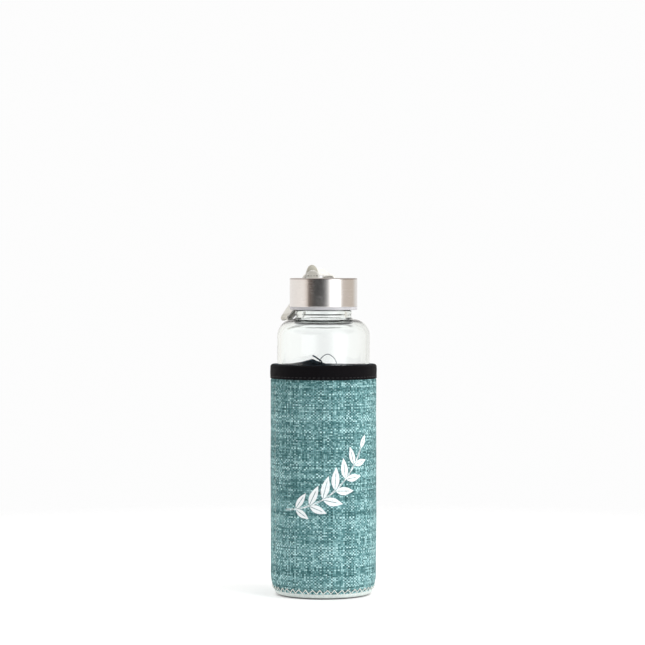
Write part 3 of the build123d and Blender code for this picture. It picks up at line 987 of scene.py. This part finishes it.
def makeLining():
    cloth = wrapCloth(192, 110, faceOf(sleeve["lining"]), sleeve["seam"])
    settleSleeve(cloth, 0.0)
    applyModifier(cloth, "SOLIDIFY", thickness=0.0005, offset=-1)
    material = makeKnit("liningKnit", 0.2092, 0.1579, (0.16, 0.18, 0.19), (0.34, 0.37, 0.38))
    cloth = finishPiece(cloth, "sleeveLining", "sleeve", material, ["sleeve_lining"])


seamShape = {"low": 0.014, "pitch": 0.0041, "count": 33, "thread": 0.00042, "sunk": 0.0003}


def makeSeamStitches():
    pitch = seamShape["pitch"]
    reach = sleeve["outer"][1] - seamShape["sunk"]
    paths = []
    for i in range(seamShape["count"]):
        start = seamShape["low"] + i * pitch
        heights = [start, start + 0.0004, start + pitch / 2, start + pitch - 0.0011, start + pitch - 0.0007]
        lifts = [-0.0003, 0.00008, 0.00018, 0.00008, -0.0003]
        path = []
        for height, lift in zip(heights, lifts):
            spot = around(reach, sleeve["seam"], height)
            path.append(around(reach + lift + softness(spot), sleeve["seam"], height))
        paths.append(path)
    stitches = threadPiece(paths, seamShape["thread"])
    material = makeThread("seamThread", (0.46, 0.60, 0.58), (0.72, 0.80, 0.78))
    finishPiece(stitches, "sideSeamStitches", "sleeve", material, ["side_seam_stitches"])


bindingShape = {
    "reach": bindingHigh.x, "bore": 0.03285, "top": bindingHigh.z, "low": bindingLow.z,
    "roll": 0.0019, "wave": 0.00016, "stitchUp": 0.0016,
}


def makeBinding():
    shape = bindingShape
    gripped, freed = sleeve["outer"][2] + 0.00002, sleeve["inner"][2] - 0.00002
    corners = [
        (gripped, shape["low"], 0),
        (shape["reach"], shape["low"], 0.0003),
        (shape["reach"], shape["top"], shape["roll"]),
        (shape["bore"], shape["top"], shape["roll"]),
        (shape["bore"], shape["low"] + 0.0002, 0.0003),
        (freed, shape["low"] + 0.0002, 0),
        (freed, sleeve["top"] + 0.00002, 0),
        (gripped, sleeve["top"] + 0.00002, 0),
    ]
    outline = roundOff(corners)
    # a few more points down the outside, so that the band can pucker between its edges
    low, rise = shape["low"] + 0.0003, shape["top"] - shape["low"] - shape["roll"] - 0.0003
    outer = [Vector((shape["reach"] + 0.00006 * math.sin(math.pi * i / 8),
                     low + rise * i / 8)) for i in range(1, 8)]
    outline = outline[:5] + outer + outline[5:]
    band = spinOutline(outline, 216)
    settleSleeve(band, 0.3)
    for vertex in band.data.vertices:
        spot = vertex.co.copy()
        reach = math.hypot(spot.x, spot.y)
        if reach < gripped + 0.0001 and spot.z < sleeve["top"]:
            continue
        stitchLine = math.exp(-((spot.z - sleeve["grip"] - shape["stitchUp"]) / 0.0006) ** 2)
        push = shape["wave"] * noise.noise(spot * 190) - 0.00016 * stitchLine
        lift = shape["wave"] * 1.3 * noise.noise(Vector((spot.x, spot.y, 0)) * 120)
        share = 1 + push / reach
        vertex.co = (spot.x * share, spot.y * share, spot.z + lift)
    finishPiece(band, "rimBinding", "sleeve", blackElastic, ["rim_binding"], 50)


topstitchShape = {"count": 72, "thread": 0.0004}


def makeTopstitch():
    step = 2 * math.pi / topstitchShape["count"]
    paths = []
    for i in range(topstitchShape["count"]):
        path = []
        for part, lift in ((-0.36, -0.00035), (-0.30, 0.0), (0, 0.00008), (0.30, 0.0), (0.36, -0.00035)):
            turn = (i + part) * step
            back = smoothStep(0.1, 0.95, math.sin(turn))
            path.append(around(bindingShape["reach"] - 0.0001 + lift, turn,
                               sleeve["grip"] + bindingShape["stitchUp"] - sleeve["backSag"] * back * 0.95))
        paths.append(path)
    stitches = threadPiece(paths, topstitchShape["thread"])
    material = makeThread("blackThread", (0.004, 0.004, 0.005), (0.016, 0.016, 0.019))
    finishPiece(stitches, "bindingTopstitch", "sleeve", material, ["binding_topstitch"])


lapShape = {
    "turns": (math.radians(88), math.radians(152)), "reach": 0.0351, "halfWidth": 0.0013,
    "rise": 0.0028, "sunk": 0.0009, "thick": 0.0008,
}


def makeEndLap():
    # the tape's end folded over the rim at the back: a low fold that tapers away to one side
    clearSelection()
    bpy.ops.mesh.primitive_grid_add(x_subdivisions=48, y_subdivisions=18, size=1, calc_uvs=True)
    lap = bpy.context.object
    startTurn, endTurn = lapShape["turns"]
    top = bindingShape["top"] - sleeve["backSag"]
    for vertex in lap.data.vertices:
        share = vertex.co.x + 0.5
        cross = math.pi * (vertex.co.y + 0.5)
        turn = startTurn + (endTurn - startTurn) * share
        fall = max(0, share - 0.28) / 0.72
        rise = lapShape["rise"] * smoothStep(0.0, 0.28, share) * (1 - fall) ** 3
        rise *= 1 + 0.18 * noise.noise(Vector((share * 9, 0.3, 0)))
        reach = lapShape["reach"] + lapShape["halfWidth"] * math.cos(cross)
        reach += 0.0003 * noise.noise(Vector((share * 6, 7.0, cross)))
        height = top - lapShape["sunk"] + (rise + lapShape["sunk"]) * math.sin(cross) ** 0.8
        vertex.co = around(reach, turn, height)
    applyModifier(lap, "SOLIDIFY", thickness=lapShape["thick"], offset=0)
    mendShell(lap)
    finishPiece(lap, "bindingEndLap", "sleeve", blackElastic, ["binding_end_lap"], 60)


def makeThreadTails():
    thick = [(-0.0010, 0.0343, 0.1610), (-0.0012, 0.0342, 0.1626), (-0.0034, 0.0337, 0.1640),
             (-0.0058, 0.0336, 0.1657), (-0.0082, 0.0342, 0.1668)]
    thin = [(-0.0036, 0.0350, 0.1612), (-0.0032, 0.0352, 0.1630), (-0.0008, 0.0354, 0.1662),
            (0.0034, 0.0353, 0.1683), (0.0074, 0.0351, 0.1660), (0.0096, 0.0348, 0.1630),
            (0.0100, 0.0346, 0.1608)]
    tails = threadPiece([thick], 0.00115)
    fine = threadPiece([thin], 0.0006)
    pickOnly(tails)
    fine.select_set(True)
    bpy.ops.object.join()
    material = makeThread("navyThread", (0.018, 0.045, 0.085), (0.06, 0.11, 0.17), 0.0003)
    finishPiece(tails, "bindingThreadTails", "sleeve", material, ["binding_thread_tails"])


baseShape = {
    "reach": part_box("base_panel")[1].x, "cloth": 0.0009, "round": 0.0035, "seam": sleeve["foot"],
    "flatSide": 0.0726, "liningReach": 0.0333,
}


def makeBase():
    shape = baseShape
    inner = shape["reach"] - shape["cloth"]
    corners = [
        (0, 0, 0),
        (shape["reach"], 0, shape["round"]),
        (shape["reach"] + 0.0002, shape["seam"] - 0.0006, 0.0002),
        (shape["reach"] + 0.0004, shape["seam"] + 0.0004, 0.0004),
        (inner, shape["seam"] + 0.0003, 0.0003),
        (inner, shape["cloth"], 0.0021),
        (0, shape["cloth"], 0),
    ]
    outline = roundOff(corners)
    spread = [Vector((shape["reach"] * i / 12, 0)) for i in range(1, 10)]
    panel = spinOutline(outline[:1] + spread + outline[1:], 176)
    for vertex in panel.data.vertices:
        # the cut edge gathers a little under the stitching
        turn = math.atan2(vertex.co.y, vertex.co.x)
        reach = math.hypot(vertex.co.x, vertex.co.y)
        if reach > 0.030 and vertex.co.z > 0.0015:
            share = 1 + 0.00010 * math.sin(turn * 44 + 0.6) / reach
            vertex.co.x *= share
            vertex.co.y *= share
    panel = finishPiece(panel, "basePanel", "sleeve", makeBaseCloth(), ["base_panel"])

    foamCorners = [
        (0, shape["cloth"], 0),
        (inner, shape["cloth"], 0.0021),
        (inner, shape["seam"] - 0.0005, 0.0003),
        (0, shape["seam"] - 0.0005, 0),
    ]
    foam = spinOutline(roundOff(foamCorners), 128)
    foam = finishPiece(foam, "baseFoam", "sleeve", bpy.data.materials["greyFoam"], ["base_foam"])

    reach = shape["liningReach"]
    cover = [(0, shape["seam"] - 0.0005, 0), (reach * 0.5, shape["seam"] - 0.0005, 0),
             (reach, shape["seam"] - 0.0005, 0.0001), (reach, shape["seam"], 0.0002),
             (reach * 0.5, shape["seam"], 0), (0, shape["seam"], 0)]
    lining = spinOutline(roundOff(cover), 128)
    material = makeKnit("baseKnit", 1, 1, (0.16, 0.18, 0.19), (0.34, 0.37, 0.38), flat=True)
    lining = finishPiece(lining, "baseLining", "sleeve", material, ["base_lining"])


def handSewn(stitch):
    # how far a stitch strays from its place, as a share of the spacing
    return 0.28 * math.sin(stitch * 2.399) * math.sin(stitch * 0.71 + 1)


# radius and height of the stitches' two ends
zigzagShape = {"count": 44, "low": (0.03500, 0.0040), "high": (0.03600, 0.0069), "thread": 0.00054}


def makeZigzag():
    count, low, high = (zigzagShape[name] for name in ("count", "low", "high"))
    step = math.pi / count
    paths = []
    for i in range(2 * count):
        ends = (low, high) if i % 2 == 0 else (high, low)
        first = around(ends[0][0], (i + handSewn(i)) * step, ends[0][1] + 0.0009 * handSewn(i + 40))
        last = around(ends[1][0], (i + 1 + handSewn(i + 1)) * step, ends[1][1] + 0.0009 * handSewn(i + 41))
        path = []
        lifts = ((-0.02, -0.0006), (0.06, 0.0002), (0.5, 0.00042), (0.94, 0.0002), (1.02, -0.0006))
        for share, lift in lifts:
            spot = first.lerp(last, share)
            out = Vector((spot.x, spot.y, 0)).normalized()
            path.append(spot + out * lift)
        paths.append(path)
    zigzag = threadPiece(paths, zigzagShape["thread"])
    material = makeThread("creamThread", (0.66, 0.68, 0.64), (0.86, 0.87, 0.83), 0.0005)
    finishPiece(zigzag, "baseZigzag", "sleeve", material, ["base_seam_stitches"])


makeFoamWall()
makeOuterFabric()
makeLining()
makeSeamStitches()
blackElastic = makeElastic()
makeBinding()
makeTopstitch()
makeEndLap()
makeThreadTails()
makeBase()
makeZigzag()
print("sleeve done")


# cap: drawn steel shell over a moulded liner

capShape = {
    "reach": shellHigh.x, "top": shellHigh.z, "skirt": shellLow.z, "steel": 0.0005,
    "recess": 0.0132, "depth": 0.0050, "edge": 0.0007,
}


def makeCapShell():
    shape = capShape
    inner = shape["reach"] - shape["steel"]
    floor = shape["top"] - shape["depth"]
    under = shape["recess"] + shape["steel"]
    corners = [
        (shape["reach"] - 0.00012, shape["skirt"], 0.0001),
        (shape["reach"], shape["skirt"] + 0.0005, 0.0002),
        (shape["reach"], shape["top"], shape["edge"]),
        (shape["recess"], shape["top"], 0.0008),
        (shape["recess"], floor, 0.0010),
        (0, floor, 0),
        (0, floor - shape["steel"], 0),
        (under, floor - shape["steel"], 0.0015),
        (under, shape["top"] - shape["steel"], 0.0003),
        (inner, shape["top"] - shape["steel"], 0.0003),
        (inner, shape["skirt"], 0.0001),
    ]
    shell = spinOutline(roundOff(corners), 192)
    finishPiece(shell, "capShell", "cap", makeBrushedSteel(), ["cap_shell"])


def dressNode(node, material):
    mesh = nodes[node].data
    mesh.materials.clear()
    mesh.materials.append(material)


makeCapShell()
dressNode("cap_liner", makePlastic("linerPlastic", (0.46, 0.46, 0.485), (0.54, 0.54, 0.565), 0.38,
                                   Specular_IOR_Level=0.5))
dressNode("cap_gasket", makePlastic("silicone", (0.72, 0.72, 0.71), (0.80, 0.80, 0.79), 0.45,
                                    Subsurface_Weight=0.2, Subsurface_Scale=0.001))
dressNode("strap_bar", makePolishedSteel())
print("cap done")


# carry strap: one length of webbing, from the tab in front of the bar, round it, and back again

barLow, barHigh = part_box("strap_bar")
barHeight = (barLow.z + barHigh.z) / 2
strapShape = {
    "thick": 0.0012, "eyeWidth": 0.0094, "turn": (barHigh.z - barLow.z) / 2 + 0.00005 + 0.0006, "x": -0.0077,
}


def strapRoute():
    # centre, direction of the webbing's width, width, and how far its middle stands out
    x, turn = strapShape["x"], strapShape["turn"]
    straight = Vector((1, 0, 0))
    tab = [
        (0.0008, 0.0078, 0.0070, -0.0003),
        (0.0008, 0.0060, 0.0076, -0.0003),
        (0.0008, 0.0040, 0.0082, -0.0003),
        (0.00105, 0.0024, 0.0088, -0.0001),
        (0.00145, 0.0012, 0.0092, 0),
    ]
    route = [(Vector((x, -y, barHeight + up)), straight, wide, crown) for y, up, wide, crown in tab]
    for step in range(5):
        angle = math.pi * step / 4
        centre = Vector((x, -turn * math.cos(angle), barHeight - turn * math.sin(angle)))
        route.append((centre, straight, strapShape["eyeWidth"], 0))
    loop = [
        ((-7.7, 1.35, 221.4), (1, 0, 0), 9.8, 0),
        ((-7.8, 0.80, 223.8), (1, 0, 0), 10.2, 0.2),
        ((-7.9, 0.90, 226.4), (1, 0, 0), 9.2, 0.5),
        ((-8.0, 1.10, 228.4), (1, 0, 0), 7.2, 1.0),
        ((-8.1, 2.30, 229.8), (1, 0, 0), 5.2, 1.5),
        ((-8.1, 5.40, 229.0), (1, 0, 0), 5.4, 1.4),
        ((-8.0, 11.0, 227.0), (1, 0, 0), 7.0, 0.9),
        ((-8.2, 17.0, 225.2), (1, 0, 0), 8.6, 0.3),
        ((-9.2, 22.8, 224.2), (1, 0, 0), 9.4, 0),
        ((-10.6, 26.8, 220.6), (0.97, 0, -0.2), 10, 0),
        ((-12.6, 28.2, 215.0), (0.90, -0.15, -0.38), 10, 0),
        ((-16.2, 27.0, 209.2), (0.72, -0.60, -0.25), 10, 0),
        ((-21.1, 23.1, 203.4), (0.56, -0.80, -0.05), 10, 0),
        ((-25.7, 19.0, 197.2), (0.54, -0.84, 0), 10, 0),
        ((-27.3, 17.4, 194.2), (0.54, -0.84, 0), 9.6, 0),
        ((-26.1, 17.6, 193.1), (0.54, -0.84, 0), 9.4, 0),
        ((-24.5, 18.6, 194.3), (0.54, -0.84, 0), 9.6, 0),
        ((-20.4, 22.2, 199.6), (0.56, -0.80, -0.05), 10, 0),
        ((-14.6, 26.6, 204.8), (0.55, -0.45, -0.50), 10, 0),
        ((-8.0, 29.4, 208.6), (0.48, 0.05, -0.80), 10, 0),
        ((-1.8, 30.2, 212.0), (0.60, 0.15, -0.8), 10, 0),
        ((2.4, 29.4, 217.0), (0.85, -0.1, -0.45), 10, 0),
        ((3.8, 26.8, 222.2), (0.80, -0.1, -0.50), 9.4, 0.1),
        ((3.2, 22.4, 226.0), (0.77, -0.1, -0.50), 8.8, 0.2),
        ((1.2, 17.2, 226.8), (0.75, -0.1, -0.52), 8.4, 0.2),
        ((-1.6, 12.6, 226.4), (0.80, -0.1, -0.45), 8.4, 0.1),
        ((-4.8, 8.0, 225.6), (0.95, 0, -0.15), 8.4, 0),
        ((-7.0, 4.4, 225.4), (1, 0, 0), 8.4, 0),
        ((-7.7, 2.70, 224.8), (1, 0, 0), 8.4, 0),
        ((-7.8, 2.25, 223.6), (1, 0, 0), 8.4, 0),
    ]
    for place, width, wide, crown in loop:
        route.append((Vector(place) / 1000, Vector(width), wide / 1000, crown / 1000))
    return route


def smoothRoute(route, pace=0.0005):
    # a smooth line through every mark (centripetal), with the width and crown carried along it
    stations = []
    for i in range(len(route) - 1):
        p1, p2 = route[i][0], route[i + 1][0]
        p0 = route[i - 1][0] if i else p1 * 2 - p2
        p3 = route[i + 2][0] if i + 2 < len(route) else p2 * 2 - p1
        t1 = (p1 - p0).length ** 0.5
        t2 = t1 + (p2 - p1).length ** 0.5
        t3 = t2 + (p3 - p2).length ** 0.5
        steps = max(2, round((p2 - p1).length / pace))
        for step in range(steps + (i == len(route) - 2)):
            share = step / steps
            t = t1 + (t2 - t1) * share
            a1 = p0.lerp(p1, t / t1)
            a2 = p1.lerp(p2, (t - t1) / (t2 - t1))
            a3 = p2.lerp(p3, (t - t2) / (t3 - t2))
            b1 = a1.lerp(a2, t / t2)
            b2 = a2.lerp(a3, (t - t1) / (t3 - t1))
            centre = b1.lerp(b2, (t - t1) / (t2 - t1))
            ease = smoothStep(0, 1, share)
            width = route[i][1].lerp(route[i + 1][1], ease)
            wide = route[i][2] * (1 - ease) + route[i + 1][2] * ease
            crown = route[i][3] * (1 - ease) + route[i + 1][3] * ease
            stations.append((centre, width, wide, crown))
    return stations


def makeStrap():
    stations = smoothRoute(strapRoute())
    across = 14
    clearSelection()
    bpy.ops.mesh.primitive_grid_add(x_subdivisions=across, y_subdivisions=len(stations) - 1, size=1,
                                    calc_uvs=True)
    strap = bpy.context.object
    gone = [0.0]
    for i in range(1, len(stations)):
        gone.append(gone[-1] + (stations[i][0] - stations[i - 1][0]).length)
    for vertex in strap.data.vertices:
        row = round((vertex.co.y + 0.5) * (len(stations) - 1))
        side = vertex.co.x * 2
        centre, width, wide, crown = stations[row]
        ahead = stations[min(row + 1, len(stations) - 1)][0] - stations[max(row - 1, 0)][0]
        ahead.normalize()
        width = (width - ahead * width.dot(ahead)).normalized()
        out = width.cross(ahead)
        # the tab's end is cut round
        cut = min(1, gone[row] / 0.0030)
        wide *= math.sqrt(max(0.03, 1 - (1 - cut) ** 2))
        vertex.co = centre + width * (side * wide / 2) + out * crown * (1 - side * side)
    applyModifier(strap, "SOLIDIFY", thickness=strapShape["thick"] - 0.0001, offset=0)
    applyModifier(strap, "BEVEL", width=0.0003, segments=2, limit_method="ANGLE",
                  angle_limit=math.radians(50))
    print("strap webbing is", round(gone[-1], 4), "m long")
    heights = [station[0].z for station in stations]
    crest = gone[heights.index(max(heights[:len(heights) // 3]))]
    tip = gone[heights.index(min(heights))]
    # painted shade over the crest fold and, fainter, over the hanging loop's end
    shadedFolds = [(crest, 0.0044, 0.75), (tip - 0.001, 0.0045, 0.35)]
    finishPiece(strap, "carryStrap", "strap", makeWebbing(gone[-1], shadedFolds),
                ["carry_strap"], 60)


tackShape = {"count": 4, "pitch": 0.00195, "long": 0.0013, "thread": 0.00066}


def makeBartack():
    low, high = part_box("strap_bartack")
    count, pitch, long = (tackShape[name] for name in ("count", "pitch", "long"))
    middle = (low.x + high.x) / 2
    height = (low.z + high.z) / 2
    paths = []
    for i in range(count):
        x = middle + (i - (count - 1) / 2) * pitch
        for face, out in ((low.y + 0.00042, -1), (high.y - 0.00045, 1)):
            spots = ((-0.5, -0.0004), (-0.46, 0.0001), (0, 0.00022), (0.46, 0.0001), (0.5, -0.0004))
            paths.append([Vector((x + part * long, face + out * lift, height)) for part, lift in spots])
    tack = threadPiece(paths, tackShape["thread"])
    material = makeThread("strapThread", (0.045, 0.043, 0.034), (0.14, 0.135, 0.11))
    finishPiece(tack, "strapBartack", "strap", material, ["strap_bartack"])


makeStrap()
makeBartack()
print("strap done")


# floor

def makeFloor():
    clearSelection()
    bpy.ops.mesh.primitive_circle_add(vertices=96, radius=0.8, fill_type="NGON", location=(0, 0, -0.00005))
    floor = bpy.context.object
    floor.name = "studioFloor"
    material, tree, inputs = startMaterial("floorPaper", Roughness=0.7, Specular_IOR_Level=0.2)
    grain = noiseAt(tree, objectPlace(tree), 260.0, 4.0, 0.6)
    linkInto(tree, inputs["Base Color"], mixColour(tree, grain, (0.915, 0.915, 0.915), (0.935, 0.935, 0.935)))
    # the paper is lit a little from within, and fades into the backdrop towards its edge
    inputs["Emission Color"].default_value = (1, 1, 1, 1)
    inputs["Emission Strength"].default_value = 0.16
    away = lengthOf(tree, objectPlace(tree))
    linkInto(tree, inputs["Alpha"], fadeBetween(tree, away, 0.70, 0.22))
    addBump(tree, inputs, grain, 0.0001, 0.1)
    floor.data.materials.append(material)


makeFloor()
